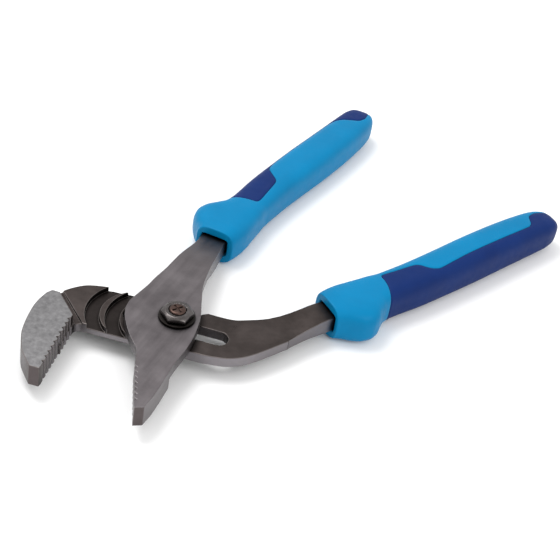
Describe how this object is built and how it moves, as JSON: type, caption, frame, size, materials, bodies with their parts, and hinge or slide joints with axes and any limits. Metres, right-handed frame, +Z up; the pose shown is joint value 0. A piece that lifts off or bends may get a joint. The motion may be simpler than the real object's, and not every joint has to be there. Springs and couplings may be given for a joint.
{
  "type": "tongue and groove pliers",
  "caption": "Adjustable tongue and groove pliers with angled toothed jaws, a slotted neck with crescent grooves, a nut and bolt pivot and two-tone cushioned grips.",
  "frame": {"origin": "on the pivot axis, at the flat underside of the bolt head, where the pliers rest on a table", "axes": "+Z up along the pivot bolt, +X from the jaws towards the handles, +Y from the grooved half's handle towards the tongue half's handle"},
  "size_m": [0.2571, 0.286, 0.024],
  "materials": {
    "dark_steel": "brown-black oiled forging with polished jaw top",
    "satin_steel": "satin ground forging with a clear coat",
    "bolt_steel": "brown oiled steel with a staked end",
    "black_steel": "black oxide",
    "nut_steel": "ground steel with a bright chamfer",
    "light_blue_grip": "semi-gloss moulded plastic",
    "dark_blue_grip": "soft-touch moulded elastomer"
  },
  "bodies": {
    "grooved_half": {"grooved_forging": "dark_steel", "lower_grip_sleeve": "light_blue_grip", "lower_grip_cover": "dark_blue_grip"},
    "pivot": {"pivot_bolt": "bolt_steel", "pivot_washer": "black_steel", "pivot_nut": "nut_steel"},
    "tongue_half": {"tongue_forging": "satin_steel", "upper_grip_sleeve": "light_blue_grip", "upper_grip_cover": "dark_blue_grip"}
  },
  "joints": [
    {"name": "slot_slide", "type": "slide", "parent": "grooved_half", "child": "pivot", "axis": [0.9913, -0.1314, 0], "range_m": [-0.02, 0.02]},
    {"name": "jaw_hinge", "type": "hinge", "parent": "pivot", "child": "tongue_half", "pos_m": [0, 0, 0], "axis": [0, 0, 1], "range_deg": [-22, 10]}
  ]
}
